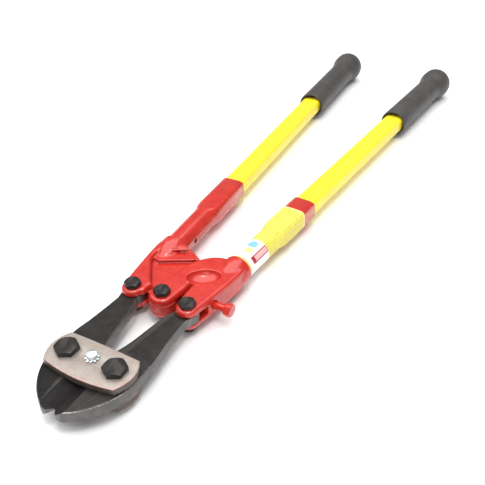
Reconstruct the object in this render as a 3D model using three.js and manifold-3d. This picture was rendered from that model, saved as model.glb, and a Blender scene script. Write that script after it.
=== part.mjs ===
// Centre-cut bolt cutters, closed: two jaws between two straps, a compound toggle of two forged
// heads, and two fibreglass handles in steel sleeves with rubber grips. Millimetres. The jaws
// point along -Y, the handles run towards +Y, and +Z is up from the table that the tool lies on.
import * as THREE from "three";
import { mergeVertices } from "three/addons/utils/BufferGeometryUtils.js";
import Module from "manifold-3d";

const wasm = await Module();
wasm.setup();

// ---- driving dimensions ----
const GAP = 0.3; // air between pieces that touch on the real tool

const JAW_PIVOT_X = 19.7; // jaw bolts, either side of the middle
const TOGGLE_X = 23.8; // rear jaw bolts
const TOGGLE_Y = 75.8;
const CENTRE_Y = 78.8; // bolt that joins the two heads

const JAW_HALF = 4.5; // half thickness at the straps
const ARM_HALF = 4; // half thickness of a jaw's arm
const EYE_HALF = 3.4; // half thickness of a jaw's rear eye and of the left head's tongue
const STRAP_THICK = 5.75;
const HEAD_HALF = 8.5; // half thickness of the forged heads
const FORK_HALF = EYE_HALF + GAP; // half height of the slots between a head's ears

const JAW_TIP_Y = -40.5;
const NOSE_X = 6.5; // where the jaw's nose starts to round
const JAW_SIDE_X = 33.2;
const BLADE_WIDTH = 9.7; // from the cutting edge to the top of its bevel
const BLADE_EDGE_HALF = 0.35; // half the thickness left on the cutting edge
const BLADE_END_Y = -12;
const EYE_R = 8.3; // jaw's rear eye
const EAR_R = 8.6; // heads' ears round the toggle bolts
const EYE_RELIEF_R = 10; // where a jaw's arm thins down to its eye
const SEAT_R = 22; // raised seat round a jaw bolt

const LOBE_R = 9.8; // right head's ears round the centre bolt
const TONGUE_R = 10.2; // left head's eye between them
const TONGUE_SLACK = 3.2; // play that the opened linkage needs at the centre bolt
const FORK_BACK_Y = TOGGLE_Y + 11.5;
const HEAD_EDGE = [2, 3.2]; // width and height of the rounding along the heads' edges
const STEP_HALF = 6; // left head's middle step
const POCKET = [12, 7.6, 4.6]; // half length, half width and depth of the right head's pockets

const JAW_BOLT_R = 5;
const JAW_HEX = 15; // across flats
const TOGGLE_BOLT_R = 4;
const CENTRE_BOLT_R = 3.8;
const REAR_HEX = 11.2;
const JAW_BOLT_HEAD = 3.7;
const REAR_BOLT_HEAD = 3.4;
const JAW_NUT = 5.9;
const REAR_NUT = 3.2;
const STRAP_SCREW_Y = 1.6;
const STRAP_SCREW_R = 2.4;
const STRAP_SCREW_HEX = 7.2;
const STAR_WASHER_R = 5;
const STAR_WASHER_THICK = 0.9;

const ADJUSTER_Y = 94;
const ADJUSTER_R = 3;
const ADJUSTER_HEX = 9.4;
const ADJUSTER_X = [8.4, 44.4, 49.6]; // thread end, underside of the head, end of the head

const SPREAD = THREE.MathUtils.degToRad(3.56); // each handle's angle to the middle
const AXIS_FOOT = [25.1, 73.5]; // where a handle's axis starts
const HUB_END = 65.6; // the rest of this list is measured along a handle's axis
const SLEEVE_START = 61.4;
const SLEEVE_CREASE = [112, 124]; // where the sleeve turns from round to square
const SLEEVE_END = 168.3;
const TANG_END = 107;
const ROD_START = 113;
const GRIP_START = 361.3;
const GRIP_END = 496.5;
const ROD_END = 484;
const PIN_AT = 80;

const HUB_R = 12.1;
const SLEEVE_R = 10.2;
const TANG_R = 8;
const SLEEVE_BOX = [21.8, 17.2]; // width and height of the square stretch
const ROD_BOX = [19.2, 14.8];
const ROD_CORNER = 5;
const GRIP_MOUTH_R = 13.4;
const GRIP_WAIST_R = 13;
const GRIP_KNOB_R = 16.8;
const PIN_R = 1.9;

// ---- materials ----
const finish = (color, roughness, metalness) =>
  new THREE.MeshStandardMaterial({ color, roughness, metalness });
const redPaint = () => finish(0xe2352f, 0.3, 0.1);
const yellowFibreglass = () => finish(0xf8e62c, 0.35, 0);
const blackRubber = () => finish(0x4b4846, 0.75, 0);
const blackSteel = () => finish(0x36322f, 0.45, 0.6);
const platedSteel = () => finish(0xb9aca2, 0.4, 0.7);
const blackOxide = () => finish(0x2c2a28, 0.5, 0.5);
const zincPlate = () => finish(0xd4dde0, 0.25, 0.9);

// ---- solids ----
// Drops what a closed shell doesn't need and joins its vertices along every seam.
function closed(geometry) {
  geometry.deleteAttribute("normal");
  geometry.deleteAttribute("uv");
  return mergeVertices(geometry, 1e-4);
}

function toSolid(geometry) {
  const vertProperties = new Float32Array(geometry.attributes.position.array);
  const triVerts = new Uint32Array(geometry.index.array);
  return new wasm.Manifold(new wasm.Mesh({ numProp: 3, vertProperties, triVerts }));
}

function toGeometry(solid) {
  const mesh = solid.getMesh();
  const geometry = new THREE.BufferGeometry();
  geometry.setAttribute("position", new THREE.BufferAttribute(mesh.vertProperties, 3));
  geometry.setIndex(new THREE.BufferAttribute(mesh.triVerts, 1));
  return geometry;
}

function join(...geometries) {
  return toGeometry(geometries.map(toSolid).reduce((whole, piece) => whole.add(piece)));
}

function cut(body, ...tools) {
  return toGeometry(tools.map(toSolid).reduce((whole, tool) => whole.subtract(tool), toSolid(body)));
}

function common(first, second) {
  return toGeometry(toSolid(first).intersect(toSolid(second)));
}

// A flat shape given height from low to high, its edges rounded off by a width and a height.
function plate(shape, low, high, [width, drop] = [0, 0], rounds = 1, curveSegments = 10) {
  const geometry = new THREE.ExtrudeGeometry(shape, {
    depth: high - low - 2 * drop,
    curveSegments,
    bevelEnabled: width > 0,
    bevelThickness: drop,
    bevelSize: width,
    bevelOffset: -width,
    bevelSegments: rounds,
  });
  return closed(geometry).translate(0, 0, low + drop);
}

function cylinder(radius, length, sides = 24) {
  return closed(new THREE.CylinderGeometry(radius, radius, length, sides));
}

function turned(profile, sides = 28) {
  const points = profile.map(([radius, at]) => new THREE.Vector2(radius, at));
  return closed(new THREE.LatheGeometry(points, sides));
}

function post(radius, low, high, x = 0, y = 0, sides = 24) {
  const round = cylinder(radius, high - low, sides);
  return round.rotateX(Math.PI / 2).translate(x, y, (low + high) / 2);
}

// A six-sided head or nut, its outer corners turned down to a chamfer.
function hexagon(acrossFlats, low, high, chamferUp = true) {
  const corner = acrossFlats / Math.sqrt(3);
  const height = high - low;
  const block = cylinder(corner, height, 6);
  const chamfered = turned(
    [
      [0, -height / 2],
      [corner + 0.01, -height / 2],
      [corner + 0.01, height / 2 - 0.9],
      [acrossFlats / 2 - 0.2, height / 2],
      [0, height / 2],
    ],
    24,
  );
  const turn = chamferUp ? Math.PI / 2 : -Math.PI / 2;
  return common(block, chamfered).rotateX(turn).translate(0, 0, (low + high) / 2);
}

// The same piece seen in a mirror across the middle (x) or across the mid-plane (z).
function reflected(geometry, axis) {
  const copy = geometry.clone().scale(axis === "x" ? -1 : 1, 1, axis === "z" ? -1 : 1);
  const index = copy.index.array;
  for (let i = 0; i < index.length; i += 3) {
    [index[i], index[i + 1]] = [index[i + 1], index[i]];
  }
  return copy;
}

// Carries a piece drawn along +Y from the origin onto the axis of the right or left handle.
function alongHandle(geometry, side) {
  return geometry.rotateZ(-side * SPREAD).translate(side * AXIS_FOOT[0], AXIS_FOOT[1], 0);
}

// ---- jaws and straps ----
function jawOutline() {
  const shape = new THREE.Shape();
  shape.moveTo(GAP / 2, -36);
  shape.lineTo(4, JAW_TIP_Y);
  shape.lineTo(NOSE_X, JAW_TIP_Y);
  shape.bezierCurveTo(20, -34, JAW_SIDE_X, -17, JAW_SIDE_X, 0);
  shape.quadraticCurveTo(33.6, 20, 30.8, 34);
  shape.lineTo(29.3, 50);
  shape.lineTo(28.4, 64);
  shape.absarc(TOGGLE_X, TOGGLE_Y, EYE_R, -0.66, Math.PI + 0.6, false);
  shape.lineTo(12.9, 62);
  shape.lineTo(10.6, 46);
  shape.lineTo(8.4, 32);
  shape.quadraticCurveTo(5.6, 19, 2, 12);
  shape.absarc(0, STRAP_SCREW_Y, 4.8, 1.14, -1.3, true);
  shape.lineTo(GAP / 2, BLADE_END_Y);
  shape.closePath();
  return shape;
}

// Everything behind the raised seat round the jaw bolt.
function armPanel() {
  const shape = new THREE.Shape();
  shape.moveTo(-10, 12);
  shape.absarc(JAW_PIVOT_X, 0, SEAT_R, 2.6, 0.5, true);
  shape.lineTo(50, 12);
  shape.lineTo(50, 95);
  shape.lineTo(-10, 95);
  shape.closePath();
  return shape;
}

// Wedge that grinds the upper face of the blade down to its cutting edge.
function bladeGrind() {
  const slope = (JAW_HALF - BLADE_EDGE_HALF) / BLADE_WIDTH;
  const shape = new THREE.Shape();
  shape.moveTo(-1, BLADE_EDGE_HALF - slope);
  shape.lineTo(BLADE_WIDTH + 3, JAW_HALF + 3 * slope);
  shape.lineTo(-1, JAW_HALF + 3 * slope);
  shape.closePath();
  const length = BLADE_END_Y - JAW_TIP_Y + 4;
  return plate(shape, 0, length).rotateX(Math.PI / 2).translate(0, BLADE_END_Y, 0);
}

function jaw() {
  const upper = [
    plate(armPanel(), ARM_HALF, JAW_HALF + 1),
    post(EYE_RELIEF_R, EYE_HALF, JAW_HALF + 1, TOGGLE_X, TOGGLE_Y, 32),
    bladeGrind(),
  ];
  const lower = upper.map((tool) => reflected(tool, "z"));
  return cut(
    plate(jawOutline(), -JAW_HALF, JAW_HALF, [0.6, 0.6], 1, 16),
    ...upper,
    ...lower,
    post(JAW_BOLT_R + GAP, -JAW_HALF - 1, JAW_HALF + 1, JAW_PIVOT_X, 0, 28),
    post(TOGGLE_BOLT_R + GAP, -JAW_HALF - 1, JAW_HALF + 1, TOGGLE_X, TOGGLE_Y),
  );
}

function strap(side) {
  const shape = new THREE.Shape();
  shape.moveTo(-28.3, -13.6);
  shape.quadraticCurveTo(0, -20.6, 28.3, -13.6);
  shape.quadraticCurveTo(37.6, 1.5, 28.1, 14.3);
  shape.quadraticCurveTo(0, 15.6, -28.1, 14.3);
  shape.quadraticCurveTo(-37.6, 1.5, -28.3, -13.6);
  const near = JAW_HALF + GAP;
  const far = near + STRAP_THICK;
  const [low, high] = side > 0 ? [near, far] : [-far, -near];
  return cut(
    plate(shape, low, high, [0.5, 0.5], 1, 14),
    post(JAW_BOLT_R + GAP, low - 1, high + 1, JAW_PIVOT_X, 0),
    post(JAW_BOLT_R + GAP, low - 1, high + 1, -JAW_PIVOT_X, 0),
    post(STRAP_SCREW_R + GAP, low - 1, high + 1, 0, STRAP_SCREW_Y),
  );
}

// ---- fasteners ----
const STRAP_FACE = JAW_HALF + GAP + STRAP_THICK;

function bolt(hex, radius, seat, height, shankEnd, x, y) {
  const head = hexagon(hex, seat, seat + height);
  return join(head, post(radius, shankEnd, seat + 1)).translate(x, y, 0);
}

function nut(hex, radius, seat, height, x, y) {
  const body = hexagon(hex, -seat - height, -seat, false);
  return cut(body, post(radius + GAP, -seat - height - 1, -seat + 1)).translate(x, y, 0);
}

function starWasher() {
  const shape = new THREE.Shape();
  const teeth = 10;
  for (let i = 0; i < teeth * 4; i++) {
    const radius = i % 4 < 2 ? STAR_WASHER_R : STAR_WASHER_R - 1.1;
    const angle = ((i + 0.5) / (teeth * 4)) * 2 * Math.PI;
    const [x, y] = [radius * Math.cos(angle), radius * Math.sin(angle)];
    if (i === 0) shape.moveTo(x, y);
    else shape.lineTo(x, y);
  }
  shape.closePath();
  const low = STRAP_FACE + GAP;
  const ring = cut(
    plate(shape, low, low + STAR_WASHER_THICK),
    post(STRAP_SCREW_R + GAP, low - 1, low + 2, 0, 0, 20),
  );
  return ring.translate(0, STRAP_SCREW_Y, 0);
}

// A low hexagon head with a driver slot across it.
function strapScrew() {
  const seat = STRAP_FACE + STAR_WASHER_THICK + 2 * GAP;
  const top = seat + 2.6;
  const end = -STRAP_FACE - GAP - 4;
  const body = join(
    hexagon(STRAP_SCREW_HEX, seat, top),
    post(STRAP_SCREW_R, end, seat + 1, 0, 0, 20),
  );
  const slot = closed(new THREE.BoxGeometry(9, 1.1, 1.8)).translate(0, 0, top);
  return cut(body, slot.rotateZ(0.5)).translate(0, STRAP_SCREW_Y, 0);
}

// ---- heads ----
// The outer edge of a head, from its ear back to the hub round the handle's axis.
function traceOuterEdge(shape, from) {
  shape.absarc(TOGGLE_X, TOGGLE_Y, EAR_R, from, 2 * Math.PI + 0.1, false);
  shape.lineTo(34.4, 88);
  shape.lineTo(35.9, 99);
  shape.quadraticCurveTo(37.8, 112, 38.8, 124);
  shape.lineTo(39.2, 133.5);
}

function rightHeadOutline() {
  const shape = new THREE.Shape();
  shape.absarc(0, CENTRE_Y, LOBE_R, Math.PI, 2 * Math.PI, false);
  shape.lineTo(11.7, 92);
  shape.absarc(12.7, 98, 1, Math.PI, 0, true);
  shape.lineTo(13.8, 90);
  traceOuterEdge(shape, Math.PI);
  shape.lineTo(17.6, 137.6);
  shape.quadraticCurveTo(8.6, 135.4, 3, 127.6);
  shape.quadraticCurveTo(-3.8, 118.5, -6.8, 97);
  shape.closePath();
  return shape;
}

// Room in the middle of the right head for the left head's tongue, which swings in from the left.
function tongueRoom() {
  const shape = new THREE.Shape();
  shape.moveTo(-30, 55);
  shape.lineTo(14, 55);
  shape.lineTo(14, CENTRE_Y);
  shape.absarc(0, CENTRE_Y, TONGUE_R + TONGUE_SLACK + GAP, 0, 0.85, false);
  shape.lineTo(2.7, 127.5);
  shape.lineTo(2.7, 142);
  shape.lineTo(-30, 142);
  shape.closePath();
  return shape;
}

// Room between a head's ears for the jaw's eye, open to the front and to the outer side.
function jawRoom() {
  const shape = new THREE.Shape();
  shape.moveTo(13.4, 55);
  shape.lineTo(50, 55);
  shape.lineTo(50, FORK_BACK_Y);
  shape.lineTo(18.5, FORK_BACK_Y);
  shape.quadraticCurveTo(13.4, FORK_BACK_Y - 1.5, 13.4, TOGGLE_Y + 5.5);
  shape.closePath();
  return shape;
}

function hub() {
  const profile = [
    [0, 42],
    [5.4, 42],
    [8.4, 47.5],
    [10.4, 52.5],
    [11.7, 57],
    [HUB_R, 60.5],
    [HUB_R, 64.8],
    [HUB_R - 0.5, HUB_END],
    [0, HUB_END],
  ];
  return turned(profile);
}

function axisCylinder(radius, from, to, sides = 24) {
  return cylinder(radius, to - from, sides).translate(0, (from + to) / 2, 0);
}

// The pin through the sleeve and the tang, lying across the handle's axis.
function crossPin(radius, half) {
  return cylinder(radius, 2 * half, 14).rotateZ(Math.PI / 2).translate(0, PIN_AT, 0);
}

// Turns a forged body into a head: hub, seat for the sleeve, tang, and its hole for the pin.
function withHub(body) {
  const seat = axisCylinder(SLEEVE_R + GAP, SLEEVE_START - 0.4, HUB_END + 20, 28);
  const tang = axisCylinder(TANG_R, SLEEVE_START - 4, TANG_END);
  const hollow = cut(join(body, alongHandle(hub(), 1)), alongHandle(seat, 1));
  return cut(join(hollow, alongHandle(tang, 1)), alongHandle(crossPin(PIN_R + GAP, 20), 1));
}

// An oval bowl in the upper or lower face of the right head.
function pocket(side) {
  const bowl = closed(new THREE.SphereGeometry(1, 28, 14));
  const [across, along, deep] = POCKET;
  return bowl.scale(across, along, deep).rotateZ(0.6).translate(16.6, 109.2, side * (HEAD_HALF + 0.6));
}

function rightHead() {
  const body = withHub(plate(rightHeadOutline(), -HEAD_HALF, HEAD_HALF, HEAD_EDGE, 2));
  const adjusterHole = cylinder(ADJUSTER_R + GAP, 60, 20);
  return cut(
    body,
    plate(tongueRoom(), -FORK_HALF, FORK_HALF),
    plate(jawRoom(), -FORK_HALF, FORK_HALF),
    pocket(1),
    pocket(-1),
    post(TOGGLE_BOLT_R + GAP, -10, 10, TOGGLE_X, TOGGLE_Y),
    post(CENTRE_BOLT_R + GAP, -10, 10, 0, CENTRE_Y),
    adjusterHole.rotateZ(Math.PI / 2).translate(ADJUSTER_X[0] - 1 + 30, ADJUSTER_Y, 0),
  );
}

// The left head is drawn on the right-hand side of the middle and mirrored.
function railOutline() {
  const shape = new THREE.Shape();
  traceOuterEdge(shape, Math.PI + 0.3);
  shape.lineTo(18.2, 137.4);
  shape.lineTo(14.4, 136.8);
  shape.lineTo(11.8, 133);
  shape.lineTo(30.4, 122.8);
  shape.quadraticCurveTo(34, 117, 30.6, 108.4);
  shape.lineTo(24.3, 99.4);
  shape.lineTo(16.2, 87.6);
  shape.absarc(0, CENTRE_Y, LOBE_R + TONGUE_SLACK + GAP, 0.42, -0.2, true);
  shape.closePath();
  return shape;
}

function middleStepOutline() {
  const shape = new THREE.Shape();
  shape.moveTo(36, 115);
  shape.lineTo(27.4, 111.6);
  shape.lineTo(-0.6, 127.4);
  shape.lineTo(-0.8, 128.8);
  shape.lineTo(12.6, 136.2);
  shape.lineTo(36, 126);
  shape.closePath();
  return shape;
}

function tongueOutline() {
  const shape = new THREE.Shape();
  shape.absarc(0, CENTRE_Y, TONGUE_R, Math.PI - 0.2, 2 * Math.PI - 0.15, false);
  shape.lineTo(14.2, CENTRE_Y + 2);
  shape.lineTo(18.6, FORK_BACK_Y);
  shape.lineTo(32.4, FORK_BACK_Y);
  shape.lineTo(35, 103);
  shape.lineTo(36, 122);
  shape.lineTo(12.8, 135.4);
  shape.lineTo(-1.7, 127.4);
  shape.lineTo(-8.6, 86);
  shape.closePath();
  return shape;
}

function leftHead() {
  const rail = withHub(plate(railOutline(), -HEAD_HALF, HEAD_HALF, HEAD_EDGE, 2));
  const forked = cut(rail, plate(jawRoom(), -FORK_HALF, FORK_HALF));
  const whole = join(
    forked,
    plate(middleStepOutline(), -STEP_HALF, STEP_HALF, [0.4, 0.4]),
    plate(tongueOutline(), -EYE_HALF, EYE_HALF),
  );
  const drilled = cut(
    whole,
    post(TOGGLE_BOLT_R + GAP, -10, 10, TOGGLE_X, TOGGLE_Y),
    post(CENTRE_BOLT_R + TONGUE_SLACK + GAP, -10, 10, 0, CENTRE_Y, 28),
  );
  return reflected(drilled, "x");
}

function adjustingScrew() {
  const [start, seat, end] = ADJUSTER_X;
  const shank = cylinder(ADJUSTER_R, seat + 1 - start, 20);
  shank.rotateZ(Math.PI / 2).translate((start + seat + 1) / 2, 0, 0);
  const head = hexagon(ADJUSTER_HEX, seat, end).rotateY(Math.PI / 2);
  return join(shank, head).translate(0, ADJUSTER_Y, 0);
}

// ---- handles ----
// Rounded rectangle, centred, width along X and height along Y.
function roundedBox(width, height, corner) {
  const [x, y] = [width / 2 - corner, height / 2 - corner];
  const shape = new THREE.Shape();
  shape.absarc(x, y, corner, 0, Math.PI / 2, false);
  shape.absarc(-x, y, corner, Math.PI / 2, Math.PI, false);
  shape.absarc(-x, -y, corner, Math.PI, 1.5 * Math.PI, false);
  shape.absarc(x, -y, corner, 1.5 * Math.PI, 2 * Math.PI, false);
  shape.closePath();
  return shape;
}

function boxBar([width, height], corner, from, to) {
  const bar = plate(roundedBox(width, height, corner), from, to, [0, 0], 1, 4);
  return bar.rotateX(-Math.PI / 2);
}

// Distance from the axis to a rounded rectangle, in the direction of angle.
function boxRadius([width, height], angle) {
  const power = 5;
  const x = Math.abs(Math.cos(angle)) / (width / 2);
  const y = Math.abs(Math.sin(angle)) / (height / 2);
  return (x ** power + y ** power) ** (-1 / power);
}

// Round tube at the head's end, pressed square round the rod past the crease.
function sleeve() {
  const [creaseFrom, creaseTo] = SLEEVE_CREASE;
  const creaseRings = [0, 0.25, 0.5, 0.75, 1].map((t) => THREE.MathUtils.lerp(creaseFrom, creaseTo, t));
  const rings = [SLEEVE_START, ...creaseRings, SLEEVE_END];
  const outer = closed(new THREE.CylinderGeometry(1, 1, rings.length - 1, 32, rings.length - 1));
  const place = outer.attributes.position;
  for (let i = 0; i < place.count; i++) {
    const [x, z] = [place.getX(i), place.getZ(i)];
    const at = rings[Math.round(place.getY(i) + (rings.length - 1) / 2)];
    place.setY(i, at);
    if (Math.hypot(x, z) < 0.5) continue;
    const angle = Math.atan2(z, x);
    const square = THREE.MathUtils.smoothstep(at, ...SLEEVE_CREASE);
    const radius = THREE.MathUtils.lerp(SLEEVE_R, boxRadius(SLEEVE_BOX, angle), square);
    place.setXYZ(i, radius * Math.cos(angle), at, radius * Math.sin(angle));
  }
  const rodHole = ROD_BOX.map((size) => size + 2 * GAP);
  return cut(
    outer,
    axisCylinder(TANG_R + GAP, SLEEVE_START - 5, SLEEVE_CREASE[0] + 2),
    boxBar(rodHole, ROD_CORNER + GAP, SLEEVE_CREASE[0] - 0.5, SLEEVE_END + 5),
    crossPin(PIN_R + GAP, 20),
  );
}

function grip() {
  const tip = GRIP_END;
  const profile = new THREE.Path();
  profile.moveTo(0, GRIP_START);
  profile.lineTo(GRIP_MOUTH_R - 1.2, GRIP_START);
  profile.quadraticCurveTo(GRIP_MOUTH_R, GRIP_START + 0.2, GRIP_MOUTH_R, GRIP_START + 3);
  profile.lineTo(GRIP_WAIST_R, tip - 34);
  profile.bezierCurveTo(GRIP_WAIST_R, tip - 20, GRIP_KNOB_R, tip - 22, GRIP_KNOB_R, tip - 13);
  profile.bezierCurveTo(GRIP_KNOB_R, tip - 5, GRIP_KNOB_R - 3, tip - 4, GRIP_KNOB_R - 4.5, tip - 2.4);
  profile.quadraticCurveTo(6, tip, 0, tip);
  const outer = closed(new THREE.LatheGeometry(profile.getPoints(4), 28));
  const socket = ROD_BOX.map((size) => size + 2 * GAP);
  return cut(
    outer,
    boxBar(socket, ROD_CORNER + GAP, GRIP_START - 5, ROD_END + GAP),
    axisCylinder(GRIP_MOUTH_R - 2.2, GRIP_START - 5, GRIP_START + 1.6),
  );
}

function rod() {
  return boxBar(ROD_BOX, ROD_CORNER, ROD_START, ROD_END);
}

// ---- assembly ----
const tool = new THREE.Group();

function add(name, geometry, material) {
  geometry.computeVertexNormals();
  const mesh = new THREE.Mesh(geometry, material);
  mesh.name = name;
  tool.add(mesh);
}

add("strap_top", strap(1), platedSteel());
add("strap_bottom", strap(-1), platedSteel());
add("strap_screw", strapScrew(), zincPlate());
add("strap_screw_washer", starWasher(), zincPlate());
add(
  "strap_screw_nut",
  nut(STRAP_SCREW_HEX, STRAP_SCREW_R, STRAP_FACE + GAP, 3.6, 0, STRAP_SCREW_Y),
  zincPlate(),
);

const rearSeat = HEAD_HALF + GAP;
const rearEnd = -rearSeat - REAR_NUT - 0.9;
for (const [word, side] of [["left", -1], ["right", 1]]) {
  const seat = STRAP_FACE + GAP;
  const x = side * JAW_PIVOT_X;
  const rearX = side * TOGGLE_X;
  add(`jaw_${word}`, side > 0 ? jaw() : reflected(jaw(), "x"), blackSteel());
  add(
    `jaw_bolt_${word}`,
    bolt(JAW_HEX, JAW_BOLT_R, seat, JAW_BOLT_HEAD, -seat - JAW_NUT, x, 0),
    blackOxide(),
  );
  add(`jaw_nut_${word}`, nut(JAW_HEX, JAW_BOLT_R, seat, JAW_NUT, x, 0), blackOxide());
  add(`head_${word}`, side > 0 ? rightHead() : leftHead(), redPaint());
  add(
    `toggle_bolt_${word}`,
    bolt(REAR_HEX, TOGGLE_BOLT_R, rearSeat, REAR_BOLT_HEAD, rearEnd, rearX, TOGGLE_Y),
    blackOxide(),
  );
  add(
    `toggle_nut_${word}`,
    nut(REAR_HEX, TOGGLE_BOLT_R, rearSeat, REAR_NUT, rearX, TOGGLE_Y),
    blackOxide(),
  );
  add(`sleeve_${word}`, alongHandle(sleeve(), side), redPaint());
  add(`sleeve_pin_${word}`, alongHandle(crossPin(PIN_R, 9.4), side), blackOxide());
  add(`handle_${word}`, alongHandle(rod(), side), yellowFibreglass());
  add(`grip_${word}`, alongHandle(grip(), side), blackRubber());
}
add(
  "centre_bolt",
  bolt(REAR_HEX, CENTRE_BOLT_R, rearSeat, REAR_BOLT_HEAD, rearEnd, 0, CENTRE_Y),
  blackOxide(),
);
add("centre_nut", nut(REAR_HEX, CENTRE_BOLT_R, rearSeat, REAR_NUT, 0, CENTRE_Y), blackOxide());
add("adjusting_screw", adjustingScrew(), redPaint());

// The origin is on the table, below the middle of the tool's length and width.
const extent = new THREE.Box3().setFromObject(tool);
const middle = extent.getCenter(new THREE.Vector3());
tool.position.set(-middle.x, -middle.y, -extent.min.z);

const group = new THREE.Group();
group.add(tool);

export default group;
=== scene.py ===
"""Centre-cut bolt cutters with forged red heads, fibreglass handles and rubber grips."""

import logging
import math
from collections.abc import Callable, Iterator
from contextlib import contextmanager
from dataclasses import dataclass
from enum import Enum

import bpy
from mathutils import Matrix, Vector


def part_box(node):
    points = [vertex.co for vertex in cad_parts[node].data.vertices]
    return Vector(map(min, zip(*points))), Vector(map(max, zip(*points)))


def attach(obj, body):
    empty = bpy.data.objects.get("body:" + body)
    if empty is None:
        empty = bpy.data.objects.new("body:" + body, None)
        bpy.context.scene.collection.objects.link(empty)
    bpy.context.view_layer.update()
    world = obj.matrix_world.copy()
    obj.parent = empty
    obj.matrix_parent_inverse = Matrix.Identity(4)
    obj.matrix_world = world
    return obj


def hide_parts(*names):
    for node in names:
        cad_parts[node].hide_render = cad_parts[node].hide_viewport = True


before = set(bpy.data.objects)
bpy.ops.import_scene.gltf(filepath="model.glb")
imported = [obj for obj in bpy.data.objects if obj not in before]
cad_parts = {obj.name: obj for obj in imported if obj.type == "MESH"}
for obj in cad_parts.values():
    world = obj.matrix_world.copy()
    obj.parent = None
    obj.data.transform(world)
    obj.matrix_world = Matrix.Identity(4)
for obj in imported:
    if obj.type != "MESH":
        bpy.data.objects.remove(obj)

log = logging.getLogger("bolt_cutters")
MM = 0.001
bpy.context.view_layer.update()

Triple = tuple[float, float, float]
Colour = Triple
Socket = bpy.types.NodeSocket
Piece = bpy.types.Object
Test = Callable[[Vector, Vector], bool]


class Side(Enum):
    """Which half of the tool a piece belongs to; the value is the sign of its X."""

    LEFT = -1
    RIGHT = 1

    @property
    def word(self) -> str:
        """The word that this side has in the names of pieces."""
        return self.name.lower()


class Body(Enum):
    """The bodies that the pieces ride on."""

    STRAP = "strap"
    JAW_LEFT = "jaw_left"
    JAW_RIGHT = "jaw_right"
    LEVER_LEFT = "left_lever"
    LEVER_RIGHT = "right_lever"
    ADJUSTER = "adjuster"

    @classmethod
    def jaw(cls, side: Side) -> "Body":
        """The body of one jaw."""
        return cls.JAW_LEFT if side is Side.LEFT else cls.JAW_RIGHT

    @classmethod
    def lever(cls, side: Side) -> "Body":
        """The body of one head with its handle."""
        return cls.LEVER_LEFT if side is Side.LEFT else cls.LEVER_RIGHT


# ---------------------------------------------------------------- finishes


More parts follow.
